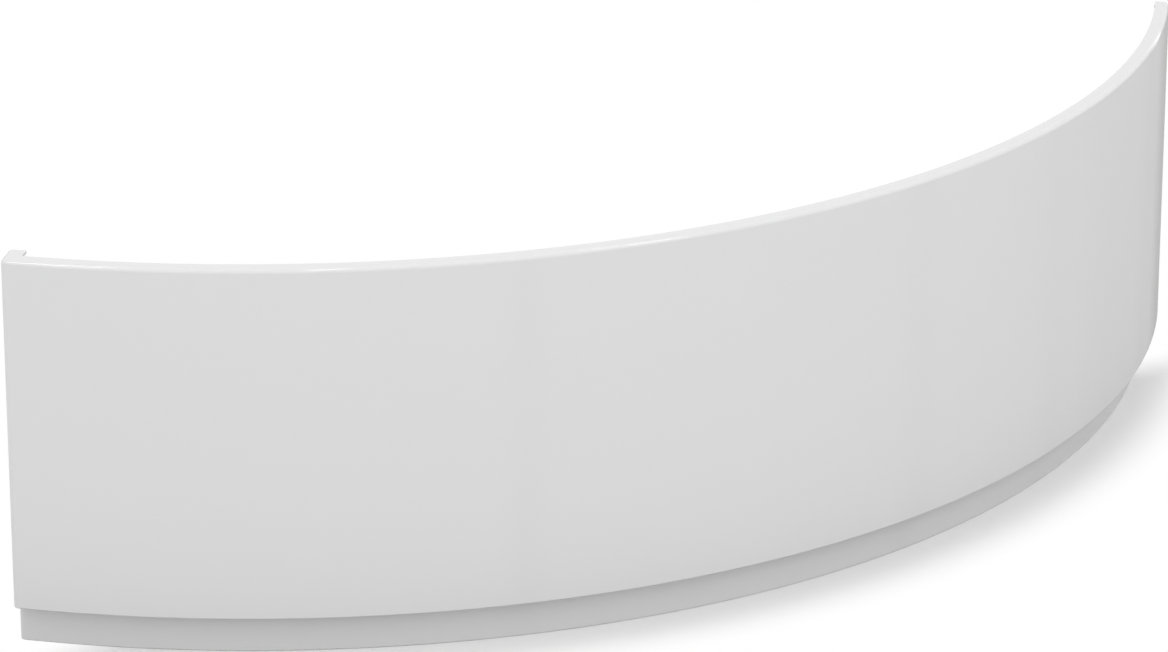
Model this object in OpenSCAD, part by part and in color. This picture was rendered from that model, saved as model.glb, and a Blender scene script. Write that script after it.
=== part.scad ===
// Curved front panel for a corner bath, moulded from one acrylic sheet.
// The panel stands on its plinth. X runs along its chord, its face looks towards -Y, and Z is up.
// The origin is on the floor, at the middle of the panel's overall width and depth.

/* [Face] */
// Radius of the outer surface of the curved face, in plan
face_radius = 1320; // [1200:5:1450]
// Distance from each wall to the centre of the face's arc
centre_to_wall = 83; // [60:1:100]
// Height of the panel from the floor to the top of its rim
panel_height = 550; // [450:5:620]
// Thickness of the moulded sheet
sheet_thickness = 4; // [3:0.5:5]

/* [Rim] */
// Depth of the flat rim that goes under the edge of the bath
rim_depth = 20; // [14:1:26]
// Outside radius where the face rolls over into the rim
rim_round = 7; // [6.5:0.5:7.5]
// Width of the rim over each end return
return_rim = 25; // [14:1:40]

/* [Ends] */
// Outside radius of the upright corner at each end
corner_round = 8; // [8:0.5:12]
// Depth of the return along the wall at the left end
left_return = 40; // [30:1:80]
// Depth of the return along the wall at the right end
right_return = 20; // [20:1:80]

/* [Plinth] */
// Height of the recessed plinth
plinth_height = 57; // [40:1:120]
// How far the plinth stands back from the face
plinth_recess = 27; // [20:1:40]
// Depth of the plinth's return along the wall, from its own front corner
plinth_return = 13; // [12:1:40]
// Outside radius along the lower edge of the face
drip_round = 2; // [0.5:0.5:3]
// Radius along the lower edge of the plinth
foot_round = 2; // [0.5:0.5:2.5]

/* [Hidden] */
// Sides to a full turn, for the corners and for the long arcs
$fn = 48;
arc_sides = 720;
// A cut runs past the face that it opens by this much
overrun = 5;
// The two walls meet at a right angle, so each of them lies at this angle to the chord
wall_angle = 45;
step_top = plinth_height + sheet_thickness;
plinth_radius = face_radius - plinth_recess;
plinth_reach = plinth_recess + plinth_return;
// The sharp edge where the face would meet the wall, measured along the wall from the arc's centre
face_edge = -along(face_radius, centre_to_wall);
// Middle of the panel's depth, measured from the arc's centre
deepest = max(left_return, right_return, plinth_reach);
back_edge = -(centre_to_wall + face_edge + deepest) * cos(wall_angle);
arc_centre_y = (face_radius + back_edge) / 2;
// The straight parts start out longer than any return, and are then trimmed
longest_run = deepest + corner_round + overrun;
acrylic_white = [0.93, 0.93, 0.93];

// The other short side of a right triangle with this long side
function along(long_side, short_side) = sqrt(pow(long_side, 2) - pow(short_side, 2));

// What comes off a square edge to leave it with this radius
module edge_cut(radius) {
    difference() {
        square(radius + overrun);
        circle(radius);
    }
}

// Cuts that roll the upper edge of the face into the rim, and ease its lower edge.
// The outer surface is at x = 0, and the sheet lies on the side of negative x.
module face_edge_cuts() {
    translate([-rim_round, panel_height - rim_round]) edge_cut(rim_round);
    translate([-drip_round, plinth_height + drip_round]) mirror([0, 1]) edge_cut(drip_round);
}

// Section of the sheet from the rim down to the step under the face
module face_section(rim, step) {
    hollow_round = rim_round - sheet_thickness;
    hollow_top = panel_height - sheet_thickness;
    difference() {
        union() {
            translate([-sheet_thickness, plinth_height])
                square([sheet_thickness, panel_height - plinth_height]);
            translate([-rim, hollow_top - hollow_round])
                square([rim, sheet_thickness + hollow_round]);
            translate([-step, plinth_height]) square([step, sheet_thickness]);
        }
        // The hollow side of the roll, so that the sheet keeps its thickness
        translate([-rim - overrun, hollow_top - hollow_round - overrun])
            square([rim + overrun - sheet_thickness - hollow_round, hollow_round + overrun]);
        translate([-sheet_thickness - hollow_round, hollow_top - hollow_round]) circle(hollow_round);
        face_edge_cuts();
    }
}

// Section of the plinth, which stands under the inner edge of the step
module plinth_section() {
    difference() {
        translate([-sheet_thickness, 0]) square([sheet_thickness, step_top]);
        translate([-foot_round, foot_round]) mirror([0, 1]) edge_cut(foot_round);
    }
}

// From here on, x points into the right-hand wall and y runs along it to the room's corner.
// The left-hand wall is its mirror image in the line between the two.
module at_left() {
    mirror([1, -1, 0]) children();
}

module at_both_ends() {
    children();
    at_left() children();
}

// Places its children at the centre of the right-hand upright corner.
// The long distance is given in two steps, so that the corner meets the arc exactly.
module at_corner(radius) {
    far = along(radius - corner_round, centre_to_wall - corner_round);
    translate([centre_to_wall - corner_round, -floor(far), 0])
        translate([0, floor(far) - far, 0]) children();
}

// The wedge that an upright corner fills, between the end of the arc and the wall
module corner_wedge(radius) {
    reach = corner_round + overrun;
    lean = (centre_to_wall - corner_round) / along(radius - corner_round, centre_to_wall - corner_round);
    translate([0, 0, -overrun])
        linear_extrude(panel_height + 2 * overrun)
            polygon([[0, 0], [reach, 0], [reach, -reach], [reach * lean, -reach]]);
}

// The long curved part of the sheet, cut off at the walls and where the upright corners start
module arc_part(radius) {
    difference() {
        rotate_extrude($fn = arc_sides) translate([radius, 0]) children();
        at_both_ends() {
            translate([centre_to_wall, -radius - overrun, -overrun])
                cube([radius, 2 * (radius + overrun), panel_height + 2 * overrun]);
            at_corner(radius) corner_wedge(radius);
        }
    }
}

// One upright corner, at the right
module corner_part(radius) {
    at_corner(radius)
        intersection() {
            rotate([0, 0, 90])
                rotate_extrude()
                    intersection() {
                        translate([corner_round, 0]) children();
                        square([corner_round, panel_height]);
                    }
            corner_wedge(radius);
        }
}

// The straight part along the wall at the right, from the upright corner back
module wall_part(radius, run) {
    at_corner(radius)
        translate([corner_round, run, 0]) rotate([90, 0, 0]) linear_extrude(run) children();
}

module face_sheet() {
    difference() {
        arc_part(face_radius) face_section(rim_depth, plinth_recess + sheet_thickness);
        at_both_ends() wall_part(face_radius, longest_run) face_edge_cuts();
    }
    at_both_ends() {
        corner_part(face_radius) face_section(corner_round, corner_round);
        wall_part(face_radius, longest_run) face_section(return_rim, sheet_thickness);
    }
}

module plinth_sheet() {
    arc_part(plinth_radius) plinth_section();
    at_both_ends() {
        corner_part(plinth_radius) plinth_section();
        wall_part(plinth_radius, longest_run) plinth_section();
    }
}

// Trims the returns at the right: the upper one at one depth and the plinth's at another
module trim(upper_depth) {
    width = return_rim + 2 * overrun;
    translate([centre_to_wall + overrun - width, face_edge + upper_depth, step_top])
        cube([width, longest_run, panel_height]);
    translate([centre_to_wall + overrun - width, face_edge + plinth_reach, -overrun])
        cube([width, longest_run, panel_height]);
}

module bath_panel() {
    color(acrylic_white)
        translate([0, arc_centre_y, 0])
            rotate([0, 0, wall_angle])
                difference() {
                    union() {
                        face_sheet();
                        plinth_sheet();
                    }
                    trim(right_return);
                    at_left() trim(left_return);
                }
}

bath_panel();
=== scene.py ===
"""Looks of a curved bath panel: its moulded acrylic sheet, and a plain studio to see it in."""

import math

import bmesh
import bpy
from bpy.props import FloatProperty, FloatVectorProperty, IntProperty, PointerProperty
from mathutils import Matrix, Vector


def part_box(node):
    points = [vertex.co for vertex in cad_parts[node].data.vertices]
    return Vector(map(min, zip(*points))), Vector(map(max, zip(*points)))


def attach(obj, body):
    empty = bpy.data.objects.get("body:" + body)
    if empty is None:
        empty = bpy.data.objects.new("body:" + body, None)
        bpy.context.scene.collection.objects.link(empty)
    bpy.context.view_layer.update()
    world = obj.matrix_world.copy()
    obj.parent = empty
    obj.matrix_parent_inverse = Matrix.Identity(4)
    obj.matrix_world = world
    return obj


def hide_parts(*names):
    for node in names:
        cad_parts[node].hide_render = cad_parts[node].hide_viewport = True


bl_info = {
    "name": "Bath Panel",
    "version": (1, 0, 0),
    "blender": (4, 5, 0),
    "location": "View3D > Sidebar > Bath Panel",
    "description": "Models a curved bath panel from one moulded sheet, and sets up a studio",
    "category": "Object",
}

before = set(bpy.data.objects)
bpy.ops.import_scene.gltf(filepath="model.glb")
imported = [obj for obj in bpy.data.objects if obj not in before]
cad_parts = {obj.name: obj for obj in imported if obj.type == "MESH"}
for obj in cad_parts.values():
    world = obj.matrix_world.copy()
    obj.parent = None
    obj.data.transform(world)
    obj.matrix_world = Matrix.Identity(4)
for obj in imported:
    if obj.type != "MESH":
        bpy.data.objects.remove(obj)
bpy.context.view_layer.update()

NODE = "bath_panel"
NODE_LOW, NODE_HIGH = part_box(NODE)
WALL_ANGLE = math.radians(45)  # both walls lie at this angle to the panel's chord
NEAR = 1e-5                    # two places closer than this are the same place
OVERRUN = 0.005                # a cut runs past what it opens by this much
FEWEST_SIDES = 300             # sides to a full turn that a long arc keeps at least
LAST_SIDE = (0.85, 0.97)       # how much of its last side an arc keeps where a wall cuts it
CORNER_STEPS = 10              # flat steps across each of the sheet's rounds
ROLL_STEPS = 10
ROLL_INSIDE_STEPS = 6
DRIP_STEPS = 6
FOOT_STEPS = 5
TRIM_STEPS = 3
CUT_ANGLE = math.radians(50)     # edges sharper than this were cut and get eased
SMOOTH_ANGLE = math.radians(45)  # edges flatter than this look smooth
ACRYLIC_IOR = 1.49
MARKS_SCALE = 9.0              # wiping marks: their scale, and their share of the roughness
MARKS_SHARE = 0.5
WAVES_SCALE = 3.0              # slow waves: their scale, height, and strength on either side
WAVES_HEIGHT = 0.002
FACE_WAVES = 0.02
BACK_WAVES = 0.05
FLOOR_SIZE = 60
FLOOR_ROUGHNESS = 0.9
GLOSS_BLEND = 0.15             # how far above and below the horizon the low gloss fades out
CAMERA_PLACE = (-4.32010, -5.93094, 3.05538)
CAMERA_TURN = (math.radians(69.486), math.radians(0.03), math.radians(-34.72))
SENSOR_WIDTH = 36
VIEW_END = 100
# Broad lights, out of sight in the gloss: where each one is, and its share of the power
SOFT_LIGHTS = (
    ("left_light", (-3.12, -1.66, 4.76), 0.9), ("right_light", (0.74, -3.46, 4.76), 1.1))
# Narrow lights that only glint along the rim: where each one is, its width, its length and its
# share of the power
STRIP_LIGHTS = (
    ("far_left_strip", (-3.85, -0.84, 4.50), 0.34, 2.6, 0.8),
    ("left_strip", (-1.84, -2.43, 4.79), 0.30, 1.8, 0.35),
    ("right_strip", (1.08, -3.08, 4.41), 0.34, 2.4, 0.6),
    ("far_right_strip", (3.63, 1.22, 0.60), 0.16, 1.5, 0.08))
# Soft upright bands in the gloss: degrees round from the front, half width and change in brightness
GLOSS_BANDS = (
    (-3, 4, -0.25), (27, 4, 0.05), (55, 4, -0.20), (83, 5, -0.08), (104, 3, 0.07),
    (111, 7, 0.10), (121, 10, 0.11))


# Properties

class PanelShape(bpy.types.PropertyGroup):
    """Sizes of the moulded sheet."""

    face_radius: FloatProperty(
        name="Face radius", description="Radius of the outside of the curved face",
        default=1.320, min=1.0, max=2.0, unit="LENGTH")
    centre_to_wall: FloatProperty(
        name="Centre to wall", description="Distance from the centre of the arc to each wall",
        default=0.083, min=0.04, max=0.12, unit="LENGTH")
    height: FloatProperty(
        name="Height", description="Height from the floor to the top of the rim",
        default=NODE_HIGH[2] - NODE_LOW[2], min=0.3, max=0.8, unit="LENGTH")
    thickness: FloatProperty(
        name="Sheet thickness", description="Thickness of the moulded sheet",
        default=0.004, min=0.002, max=0.006, unit="LENGTH")
    rim_depth: FloatProperty(
        name="Rim depth", description="Depth of the flat rim along the arc",
        default=0.020, min=0.01, max=0.04, unit="LENGTH")
    return_rim: FloatProperty(
        name="Rim over a return", description="Width of the rim over each end return",
        default=0.025, min=0.01, max=0.04, unit="LENGTH")
    rim_round: FloatProperty(
        name="Rim roll", description="Outside radius where the face rolls over into the rim",
        default=0.007, min=0.005, max=0.0075, unit="LENGTH")
    corner_round: FloatProperty(
        name="Upright corners", description="Outside radius of the upright corners at the ends",
        default=0.008, min=0.0078, max=0.009, unit="LENGTH")
    left_return: FloatProperty(
        name="Left return", description="Depth of the return along the left-hand wall",
        default=0.040, min=0.03, max=0.08, unit="LENGTH")
    right_return: FloatProperty(
        name="Right return", description="Depth of the return along the right-hand wall",
        default=0.020, min=0.015, max=0.08, unit="LENGTH")
    plinth_height: FloatProperty(
        name="Plinth height", description="Height of the recessed plinth",
        default=0.057, min=0.03, max=0.12, unit="LENGTH")
    plinth_recess: FloatProperty(
        name="Plinth recess", description="How far the plinth stands back from the face",
        default=0.027, min=0.02, max=0.05, unit="LENGTH")
    plinth_return: FloatProperty(
        name="Plinth return", description="Depth of the plinth's return, from its own front corner",
        default=0.013, min=0.01, max=0.04, unit="LENGTH")
    drip_round: FloatProperty(
        name="Drip edge", description="Outside radius along the lower edge of the face",
        default=0.002, min=0.001, max=0.0035, unit="LENGTH")
    foot_round: FloatProperty(
        name="Foot edge", description="Outside radius along the lower edge of the plinth",
        default=0.002, min=0.0005, max=0.003, unit="LENGTH")
    trim_round: FloatProperty(
        name="Trimmed edges", description="Small radius left on the edges that were cut",
        default=0.0005, min=0.0002, max=0.001, unit="LENGTH")
    arc_sides: IntProperty(
        name="Arc sides", description="Most sides that a full turn of the long arcs may have",
        default=720, min=360, max=1440)


class PanelFinish(bpy.types.PropertyGroup):
    """Colours and surface of the acrylic sheet."""

    face_colour: FloatVectorProperty(
        name="Face colour", description="Colour of the glossy side", subtype="COLOR",
        size=3, default=(0.78, 0.78, 0.78), min=0, max=1)
    back_colour: FloatVectorProperty(
        name="Back colour", description="Colour of the side that isn't seen in use",
        subtype="COLOR", size=3, default=(0.74, 0.735, 0.72), min=0, max=1)
    face_roughness: FloatProperty(
        name="Face roughness", description="Roughness of the glossy side",
        default=0.06, min=0, max=1, subtype="FACTOR")
    back_roughness: FloatProperty(
        name="Back roughness", description="Roughness of the side that isn't seen in use",
        default=0.42, min=0, max=1, subtype="FACTOR")


class StageLook(bpy.types.PropertyGroup):
    """Floor, lights and camera, and the shade painted into the light that the floor throws."""

    floor_colour: FloatVectorProperty(
        name="Floor colour", description="Colour of the plain floor", subtype="COLOR",
        size=3, default=(0.97, 0.97, 0.97), min=0, max=1)
    throw_colour: FloatVectorProperty(
        name="Thrown light", description="Colour that the floor throws onto the panel",
        subtype="COLOR", size=3, default=(0.42, 0.42, 0.42), min=0, max=1)
    # Painted shade: the floor under the step throws this dark colour onto the panel, so that the
    # plinth's recess reads darker.
    painted_foot_shade_colour: FloatVectorProperty(
        name="Light thrown at the foot", description="Colour that the floor under the step throws",
        subtype="COLOR", size=3, default=(0.12, 0.12, 0.12), min=0, max=1)
    # Painted shade: the floor just ahead of the panel throws this near-black colour onto the panel,
    # so that the plinth's recess reads darker.
    painted_shade_colour: FloatVectorProperty(
        name="Light thrown in the shade", description="Colour that the floor just ahead throws",
        subtype="COLOR", size=3, default=(0.02, 0.02, 0.02), min=0, max=1)
    # Where the painted shade on the floor ahead of the panel is deepest, and where it ends.
    painted_shade_start: FloatProperty(
        name="Shade start", description="Where the shade ahead of the panel is deepest",
        default=0.03, min=0.01, max=2, unit="LENGTH")
    painted_shade_end: FloatProperty(
        name="Shade end", description="Where the shade ahead of the panel ends",
        default=0.17, min=0.05, max=2, unit="LENGTH")
    shadow_reach: FloatProperty(
        name="Shadow reach", description="How far from the panel its shadow shows on the floor",
        default=0.10, min=0.05, max=2, unit="LENGTH")
    near_gloss: FloatProperty(
        name="Left gloss", description="Brightness low down in the gloss, ahead and to the left",
        default=0.95, min=0, max=1, subtype="FACTOR")
    far_gloss: FloatProperty(
        name="Right gloss", description="Brightness low down in the gloss, round to the right",
        default=0.45, min=0, max=1, subtype="FACTOR")
    fall_start: FloatProperty(
        name="Fall start", description="How far round from the front the gloss starts to dim",
        default=0, min=-math.pi, max=math.pi, subtype="ANGLE")
    fall_end: FloatProperty(
        name="Fall end", description="How far round from the front the gloss is at its dimmest",
        default=math.radians(125), min=-math.pi, max=math.pi, subtype="ANGLE")
    sky_strength: FloatProperty(
        name="Sky strength", description="Brightness of the even light from all round",
        default=0.72, min=0, max=4)
    low_sky: FloatProperty(
        name="Low sky", description="How much brighter the light is low down than overhead",
        default=1.15, min=0, max=4)
    soft_power: FloatProperty(
        name="Soft lights", description="Power of the broad lights", default=24,
        min=0, max=5000, unit="POWER")
    soft_size: FloatProperty(
        name="Soft light size", description="Width and length of each broad light",
        default=3.5, min=0.1, max=10, unit="LENGTH")
    strip_power: FloatProperty(
        name="Strip lights", description="Power of each square metre of the narrow lights",
        default=55, min=0, max=5000, unit="POWER")
    lens: FloatProperty(
        name="Lens", description="Focal length of the camera",
        default=175.18, min=20, max=400, unit="CAMERA")


# Selecting and shaping

def deselect():
    """Leaves edit mode, with nothing selected."""
    if bpy.context.mode != "OBJECT":
        bpy.ops.object.mode_set(mode="OBJECT")
    bpy.ops.object.select_all(action="DESELECT")


def choose(obj):
    """Selects one object, makes it the active one and leaves the others unselected."""
    deselect()
    bpy.context.view_layer.objects.active = obj
    obj.select_set(True)


def edit(obj, kind="FACE"):
    """Starts editing one object with nothing in it selected."""
    choose(obj)
    bpy.ops.object.mode_set(mode="EDIT")
    bpy.ops.mesh.select_all(action="DESELECT")
    bpy.ops.mesh.select_mode(type=kind)


def pick(obj, kind, test):
    """Selects the faces or edges of the edited object that pass a test, and no others."""
    bpy.ops.mesh.select_mode(type=kind)
    bpy.ops.mesh.select_all(action="DESELECT")
    mesh = bmesh.from_edit_mesh(obj.data)
    found = [part for part in (mesh.faces if kind == "FACE" else mesh.edges) if test(part)]
    if not found:
        raise RuntimeError(f"nothing to select on {obj.name}")
    for part in found:
        part.select_set(True)
    bmesh.update_edit_mesh(obj.data)


def middle(part):
    """The middle of a face or an edge."""
    return sum((v.co for v in part.verts), Vector()) / len(part.verts)


def at_height(z):
    """A test for what lies level at one height."""
    return lambda part: all(abs(v.co.z - z) < NEAR for v in part.verts)


def finish_with(obj, kind, name, **settings):
    """Adds a modifier, sets it up and applies it."""
    choose(obj)
    modifier = obj.modifiers.new(name, kind)
    for key, value in settings.items():
        setattr(modifier, key, value)
    bpy.ops.object.modifier_apply(modifier=modifier.name)


# The sheet. It is modelled with the centre of its arc at the origin and its walls along X and Y.

class Plan:
    """Where the walls cut the arc, worked out once from the sizes."""

    def __init__(self, shape):
        self.shape = shape
        self.wall = shape.centre_to_wall
        self.edge = -math.sqrt(shape.face_radius ** 2 - self.wall ** 2)
        self.left_end = self.edge + shape.left_return
        self.right_end = self.edge + shape.right_return
        self.plinth_end = self.edge + shape.plinth_recess + shape.plinth_return
        self.step_top = shape.plinth_height + shape.thickness
        deepest = max(self.left_end, self.right_end, self.plinth_end)
        self.centre_y = (shape.face_radius - (self.wall + deepest) * math.cos(WALL_ANGLE)) / 2

    def sides(self, radius):
        """A number of sides that leaves the arc's last side at each wall nearly whole."""
        half = math.pi / 4 + math.asin(self.wall / radius)
        for sides in range(self.shape.arc_sides, FEWEST_SIDES, -4):
            step = 2 * math.pi / sides
            first = 0 if sides % 8 == 0 else step / 2
            if LAST_SIDE[0] < (half - first) / step % 1 < LAST_SIDE[1]:
                return sides
        raise RuntimeError("no number of sides suits this arc")


def block(plan, name, face_inset, wall_inset, low, high, corner=0.0):
    """A solid part of a cylinder, cut flat by both walls, with rounded upright corners.

    Its arc lies one distance in from the face, and its flat sides another one in from the walls."""
    radius = plan.shape.face_radius - face_inset
    wall = plan.wall - wall_inset
    deselect()
    bpy.ops.mesh.primitive_cylinder_add(
        vertices=plan.sides(radius), radius=radius, depth=high - low,
        location=(0, 0, (low + high) / 2), end_fill_type="NGON")
    obj = bpy.context.object
    obj.name = obj.data.name = name
    bpy.ops.object.transform_apply(location=True, rotation=True, scale=True)
    edit(obj)
    for axis in (0, 1):
        normal = [0, 0, 0]
        normal[axis] = 1
        bpy.ops.mesh.select_all(action="SELECT")
        bpy.ops.mesh.bisect(
            plane_co=Vector(normal) * wall, plane_no=normal, use_fill=True, clear_outer=True,
            threshold=NEAR / 2)
        flatten(obj, axis, wall)
    flatten(obj, 2, low)
    flatten(obj, 2, high)
    if corner:
        turn = math.pi / 2 + math.asin(wall / radius)
        pick(obj, "EDGE", lambda e: abs(e.verts[0].co.z - e.verts[1].co.z) > NEAR
             and max(middle(e).xy) > wall - NEAR and min(middle(e).xy) < -wall)
        bevel(corner / math.tan(turn / 2), CORNER_STEPS)
    return obj


def flatten(obj, axis, place):
    """Brings the faces that lie at a place along an axis exactly there."""
    pick(obj, "FACE", lambda f: all(abs(v.co[axis] - place) < NEAR for v in f.verts))
    centre, scale = [0, 0, 0], [1, 1, 1]
    centre[axis], scale[axis] = place, 0
    bpy.ops.transform.resize(value=scale, center_override=centre)


def bevel(offset, segments):
    """Rounds the selected edges."""
    bpy.ops.mesh.bevel(
        offset=offset, offset_type="OFFSET", segments=segments, affect="EDGES", clamp_overlap=False)


def round_end(obj, height, radius, segments):
    """Rounds the edge all round a block at one height."""
    edit(obj, "EDGE")
    pick(obj, "EDGE", at_height(height))
    bevel(radius, segments)


def combine(obj, other, operation):
    """Adds another object to this one or cuts it out, and removes it."""
    finish_with(obj, "BOOLEAN", other.name, object=other, operation=operation, solver="EXACT")
    bpy.data.objects.remove(other)


def box(name, low, high):
    """A box between two corners."""
    deselect()
    bpy.ops.mesh.primitive_cube_add(
        size=1, location=(Vector(low) + Vector(high)) / 2, scale=Vector(high) - Vector(low))
    obj = bpy.context.object
    obj.name = name
    bpy.ops.object.transform_apply(location=True, rotation=True, scale=True)
    edit(obj)
    for corner in (low, high):
        for axis in range(3):
            flatten(obj, axis, corner[axis])
    return obj


def use_back_material(obj):
    """Gives a whole block the material of the sheet's back, which its cut then keeps."""
    edit(obj)
    bpy.ops.mesh.select_all(action="SELECT")
    obj.active_material_index = 1
    bpy.ops.object.material_slot_assign()
    deselect()


def shape_outside(plan):
    """The face as one block, and the plinth under it as another."""
    shape = plan.shape
    sheet = block(plan, "sheet", 0, 0, shape.plinth_height, shape.height, shape.corner_round)
    round_end(sheet, shape.height, shape.rim_round, ROLL_STEPS)
    round_end(sheet, shape.plinth_height, shape.drip_round, DRIP_STEPS)
    plinth = block(plan, "plinth", shape.plinth_recess, 0, 0,
                   shape.plinth_height + shape.thickness / 2, shape.corner_round)
    round_end(plinth, 0, shape.foot_round, FOOT_STEPS)
    return sheet, plinth


def shape_inside(plan):
    """The blocks to cut out, at one thickness from the outside all over: behind the face, behind
    the plinth, and the opening within the rim."""
    shape, thick, top = plan.shape, plan.shape.thickness, plan.shape.height
    round_in = shape.corner_round - thick
    hollow = block(plan, "hollow", thick, thick, plan.step_top, top - thick, round_in)
    round_end(hollow, top - thick, shape.rim_round - thick, ROLL_INSIDE_STEPS)
    foot = block(plan, "foot", shape.plinth_recess + thick, thick, -OVERRUN,
                 plan.step_top + OVERRUN, round_in)
    opening = block(plan, "opening", shape.rim_depth, shape.return_rim,
                    top - thick - OVERRUN, top + OVERRUN)
    return hollow, foot, opening


def use_materials(obj, materials):
    """Gives an object the materials of the sheet's two sides."""
    for material in materials:
        obj.data.materials.append(material)


def trim_returns(sheet, plan, materials):
    """Cuts away what lies along the walls behind each return and behind the plinth's return."""
    top = plan.shape.height + 2 * OVERRUN
    reach = plan.wall + OVERRUN
    near = plan.wall - plan.shape.return_rim - OVERRUN
    for axis, upper_end in ((0, plan.right_end), (1, plan.left_end)):
        for end, bottom in ((upper_end, plan.step_top), (plan.plinth_end, -OVERRUN)):
            corner = [near, end] if axis == 0 else [end, near]
            cutter = box("trim", (*corner, bottom), (reach, reach, top))
            use_materials(cutter, materials)
            combine(sheet, cutter, "DIFFERENCE")


def ease_cut_edges(sheet, radius):
    """Rounds the sharp edges that the cuts left, and merges what then lies in one place."""
    edit(sheet, "EDGE")
    bpy.ops.mesh.select_all(action="SELECT")
    bpy.ops.mesh.remove_doubles(threshold=2 * NEAR)
    bpy.ops.mesh.select_all(action="DESELECT")
    bpy.ops.mesh.edges_select_sharp(sharpness=CUT_ANGLE)
    bevel(radius, TRIM_STEPS)
    bpy.ops.mesh.select_all(action="SELECT")
    bpy.ops.mesh.remove_doubles(threshold=NEAR / 2)


def mould_sheet(shape, materials):
    """Models the whole panel as one closed sheet and puts it in its place."""
    plan = Plan(shape)
    sheet, plinth = shape_outside(plan)
    cuts = shape_inside(plan)
    for part in (sheet, plinth, *cuts):
        use_materials(part, materials)
    for cut in cuts:
        use_back_material(cut)
    combine(sheet, plinth, "UNION")
    for cut in cuts:
        combine(sheet, cut, "DIFFERENCE")
    trim_returns(sheet, plan, materials)
    ease_cut_edges(sheet, shape.trim_round)

    choose(sheet)
    sheet.rotation_euler = (0, 0, WALL_ANGLE)
    sheet.location = (0, plan.centre_y, 0)
    bpy.ops.object.transform_apply(location=True, rotation=True, scale=True)
    bpy.ops.object.shade_smooth_by_angle(angle=SMOOTH_ANGLE)
    finish_with(sheet, "WEIGHTED_NORMAL", "normals", keep_sharp=True)
    sheet.name = sheet.data.name = "moulded_sheet"
    return sheet


# Materials

class Value:
    """A number in a shader, with ordinary arithmetic."""

    def __init__(self, nodes, socket):
        self.nodes, self.socket = nodes, socket

    def __add__(self, other): return self.nodes.maths("ADD", self, other)
    def __radd__(self, other): return self.nodes.maths("ADD", other, self)
    def __sub__(self, other): return self.nodes.maths("SUBTRACT", self, other)
    def __rsub__(self, other): return self.nodes.maths("SUBTRACT", other, self)
    def __mul__(self, other): return self.nodes.maths("MULTIPLY", self, other)
    def __rmul__(self, other): return self.nodes.maths("MULTIPLY", other, self)


class Nodes:
    """A node tree, emptied but for its output."""

    def __init__(self, tree, output="ShaderNodeOutputMaterial"):
        self.tree = tree
        tree.nodes.clear()
        self.output = tree.nodes.new(output)

    def add(self, kind, settings, sockets, out=0):
        """Adds a node: its settings first, then the values or links of its sockets."""
        node = self.tree.nodes.new(kind)
        for key, value in settings.items():
            setattr(node, key, value)
        for key, value in sockets.items():
            if isinstance(value, Value):
                self.tree.links.new(value.socket, node.inputs[key])
            else:
                node.inputs[key].default_value = value
        return Value(self, node.outputs[out])

    def maths(self, operation, first, second=0):
        """Works out one number from one or two others."""
        return self.add("ShaderNodeMath", {"operation": operation}, {0: first, 1: second})

    def place(self):
        """Where a point lies on its object."""
        return self.add("ShaderNodeTexCoord", {}, {}, out="Object")

    def axes(self, vector):
        """The three numbers of a vector."""
        return [self.add("ShaderNodeSeparateXYZ", {}, {"Vector": vector}, out=i) for i in range(3)]

    def distance(self, first, second):
        """How far two points lie from each other."""
        return self.add("ShaderNodeVectorMath", {"operation": "DISTANCE"}, {
            0: first, 1: second}, out="Value")

    def rise(self, value, low, high, start=0.0, end=1.0):
        """Goes smoothly from one number to another while a value goes from low to high."""
        return self.add("ShaderNodeMapRange", {"interpolation_type": "SMOOTHSTEP"}, {
            "Value": value, "From Min": low, "From Max": high, "To Min": start, "To Max": end})

    def blend(self, share, first, second):
        """A colour between two others."""
        first, second = (c if isinstance(c, Value) else (*c, 1) for c in (first, second))
        return self.add("ShaderNodeMix", {"data_type": "RGBA"}, {
            0: share, 6: first, 7: second}, out=2)

    def light_path(self, kind):
        """One for one kind of ray, and nought for the others."""
        return self.add("ShaderNodeLightPath", {}, {}, out=kind)

    def mirrored(self):
        """One where a place shows in a gloss or through clear things, and nought elsewhere."""
        return self.maths(
            "MAXIMUM", self.light_path("Is Glossy Ray"), self.light_path("Is Transmission Ray"))

    def seen(self):
        """One where the camera sees a place, by itself or in a reflection, and nought elsewhere."""
        return self.maths("MAXIMUM", self.mirrored(), self.light_path("Is Camera Ray"))

    def finish(self, shader):
        """Links the finished shader to the tree's output."""
        self.tree.links.new(shader.socket, self.output.inputs["Surface"])


def new_material(name):
    """An empty material and its nodes."""
    material = bpy.data.materials.new(name)
    material.use_nodes = True
    return material, Nodes(material.node_tree)


def acrylic(name, colour, roughness, waviness):
    """Cast acrylic: an even colour, faint wiping marks and the slow waves of a formed sheet."""
    material, nodes = new_material(name)
    place = nodes.place()
    marks = nodes.add("ShaderNodeTexNoise", {}, {
        "Vector": place, "Scale": MARKS_SCALE, "Detail": 5.0})
    waves = nodes.add("ShaderNodeTexNoise", {}, {
        "Vector": place, "Scale": WAVES_SCALE, "Detail": 1.0})
    bump = nodes.add("ShaderNodeBump", {}, {
        "Strength": waviness, "Distance": WAVES_HEIGHT, "Height": waves})
    nodes.finish(nodes.add("ShaderNodeBsdfPrincipled", {}, {
        "Base Color": (*colour, 1), "IOR": ACRYLIC_IOR, "Normal": bump,
        "Roughness": roughness + (marks - 0.5) * (roughness * MARKS_SHARE)}))
    return material


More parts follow.
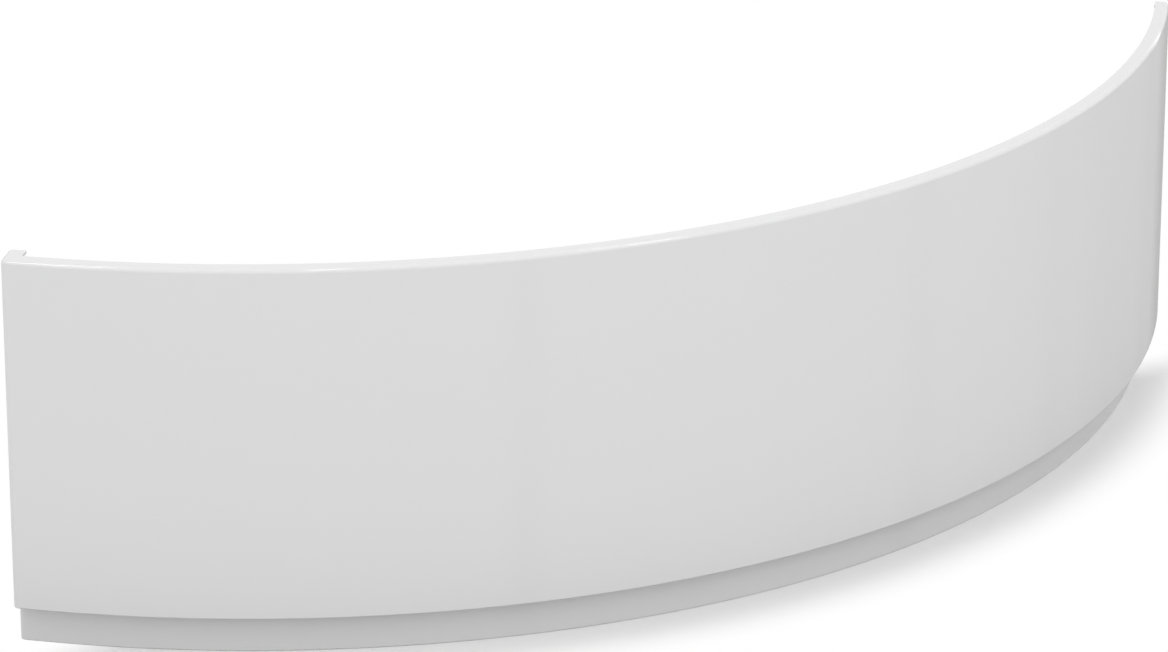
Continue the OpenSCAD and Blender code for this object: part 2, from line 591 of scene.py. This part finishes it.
def floor_paint(look, plan):
    """Dull white paint. Near the panel it takes shadows, and farther off it is plain white to the
    eye. The light that it throws on the panel is darker than it looks and comes in three zones by
    the distance ahead of it, with painted shade under the step and just ahead of the panel."""
    material, nodes = new_material("floor_paint")
    place = nodes.place()
    _, back, _ = nodes.axes(place)
    ahead = nodes.distance(place, (0, plan.centre_y, 0)) - plan.shape.face_radius
    far = nodes.maths(
        "MAXIMUM", nodes.rise(back, look.shadow_reach, 2 * look.shadow_reach),
        nodes.rise(nodes.maths("ABSOLUTE", ahead), 0, look.shadow_reach))
    camera = nodes.light_path("Is Camera Ray")
    # Painted shade: the colour that the floor throws onto the panel is darkened under the step and
    # just ahead of it, which darkens the plinth's recess. The eye still sees the floor colour.
    past_painted_shade = nodes.rise(ahead, look.painted_shade_start, look.painted_shade_end)
    thrown = nodes.blend(past_painted_shade, look.painted_shade_colour, look.throw_colour)
    thrown = nodes.blend(nodes.rise(ahead, -NEAR, look.painted_shade_start), look.painted_foot_shade_colour, thrown)
    shade = nodes.blend(nodes.seen(), thrown, look.floor_colour)
    paint = nodes.add("ShaderNodeBsdfPrincipled", {}, {
        "Base Color": shade, "Roughness": FLOOR_ROUGHNESS})
    white = nodes.add("ShaderNodeEmission", {}, {"Color": (1, 1, 1, 1), "Strength": 1.0})
    nodes.finish(nodes.add("ShaderNodeMixShader", {}, {
        0: nodes.maths("MAXIMUM", camera * far, nodes.mirrored()), 1: paint, 2: white}))
    return material


# Operators

class PANEL_OT_sheet(bpy.types.Operator):
    """Model the moulded sheet of the bath panel"""

    bl_idname = "bath_panel.sheet"
    bl_label = "Moulded Sheet"

    def execute(self, context):
        finish = context.scene.panel_finish
        face = acrylic("acrylic_face", finish.face_colour, finish.face_roughness, FACE_WAVES)
        back = acrylic("acrylic_back", finish.back_colour, finish.back_roughness, BACK_WAVES)
        sheet = mould_sheet(context.scene.panel_shape, (face, back))
        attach(sheet, "root")
        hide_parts(NODE)
        return {"FINISHED"}


def soft_light(name, place, size, power, glints):
    """A soft light that faces the middle of the panel's top. It only glints, or only lights."""
    place = Vector(place)
    deselect()
    bpy.ops.object.light_add(
        type="AREA", location=place,
        rotation=(place - Vector((0, 0, NODE_HIGH[2]))).to_track_quat("Z", "Y").to_euler())
    lamp = bpy.context.object
    lamp.name = lamp.data.name = name
    lamp.data.shape = "RECTANGLE"
    lamp.data.size, lamp.data.size_y = size
    lamp.data.energy = power
    lamp.visible_glossy = glints
    lamp.visible_diffuse = not glints


def studio_world(look):
    """Even light from all round. It looks white to the camera, and in a gloss it is pale above and
    falls off to grey low down on the right, where a studio's light doesn't reach."""
    world = bpy.data.worlds.new("studio")
    world.use_nodes = True
    nodes = Nodes(world.node_tree, "ShaderNodeOutputWorld")
    x, y, z = nodes.axes(nodes.add("ShaderNodeTexCoord", {}, {}, out="Generated"))
    turn = nodes.maths("ARCTAN2", x, 0 - y)
    low = nodes.rise(turn, look.fall_start, look.fall_end, look.near_gloss, look.far_gloss)
    for centre, half_width, change in GLOSS_BANDS:
        off = nodes.maths("ABSOLUTE", turn - math.radians(centre))
        low = low + nodes.rise(off, 0, math.radians(half_width), change, 0)
    up = nodes.rise(z, -GLOSS_BLEND, GLOSS_BLEND)
    gloss = low + up * (1 - low)
    mirrored, seen = nodes.mirrored(), nodes.seen()
    sky = look.sky_strength + (1 - z) * (1 - z) * look.low_sky
    strength = (1 - seen) * sky + mirrored * gloss + (seen - mirrored)
    nodes.finish(nodes.add("ShaderNodeBackground", {}, {
        "Color": (1, 1, 1, 1), "Strength": strength}))
    return world


class PANEL_OT_stage(bpy.types.Operator):
    """Set up the floor, the lights and the camera"""

    bl_idname = "bath_panel.stage"
    bl_label = "Studio"

    def execute(self, context):
        look = context.scene.stage_look
        deselect()
        bpy.ops.mesh.primitive_plane_add(size=FLOOR_SIZE)
        floor = context.object
        floor.name = floor.data.name = "floor"
        floor.data.materials.append(floor_paint(look, Plan(context.scene.panel_shape)))
        floor.visible_glossy = False

        for name, place, share in SOFT_LIGHTS:
            size = (look.soft_size, look.soft_size)
            soft_light(name, place, size, look.soft_power * share, glints=False)
        for name, place, width, length, share in STRIP_LIGHTS:
            power = look.strip_power * width * length * share
            soft_light(name, place, (width, length), power, glints=True)
        context.scene.world = studio_world(look)

        deselect()
        bpy.ops.object.camera_add(location=CAMERA_PLACE, rotation=CAMERA_TURN)
        camera = context.object
        camera.name = camera.data.name = "camera"
        camera.data.lens = look.lens
        camera.data.sensor_width = SENSOR_WIDTH
        camera.data.clip_end = VIEW_END
        context.scene.camera = camera
        context.scene.view_settings.view_transform = "Standard"
        return {"FINISHED"}


class PANEL_PT_tools(bpy.types.Panel):
    """Lists what the add-on makes"""

    bl_label = "Bath Panel"
    bl_idname = "PANEL_PT_tools"
    bl_space_type = "VIEW_3D"
    bl_region_type = "UI"
    bl_category = "Bath Panel"

    def draw(self, context):
        layout = self.layout
        for title, group in (("Sheet", context.scene.panel_shape),
                             ("Finish", context.scene.panel_finish),
                             ("Studio", context.scene.stage_look)):
            section = layout.box()
            section.label(text=title)
            for key in group.__annotations__:
                section.prop(group, key)
        layout.operator(PANEL_OT_sheet.bl_idname)
        layout.operator(PANEL_OT_stage.bl_idname)


CLASSES = (PanelShape, PanelFinish, StageLook, PANEL_OT_sheet, PANEL_OT_stage, PANEL_PT_tools)


def register():
    """Adds the add-on's classes and properties."""
    for cls in CLASSES:
        bpy.utils.register_class(cls)
    bpy.types.Scene.panel_shape = PointerProperty(type=PanelShape)
    bpy.types.Scene.panel_finish = PointerProperty(type=PanelFinish)
    bpy.types.Scene.stage_look = PointerProperty(type=StageLook)


def unregister():
    """Takes them away again."""
    del bpy.types.Scene.stage_look
    del bpy.types.Scene.panel_finish
    del bpy.types.Scene.panel_shape
    for cls in reversed(CLASSES):
        bpy.utils.unregister_class(cls)


def main():
    """Makes everything in order."""
    register()
    bpy.ops.bath_panel.sheet()
    bpy.ops.bath_panel.stage()


if __name__ == "__main__":
    main()
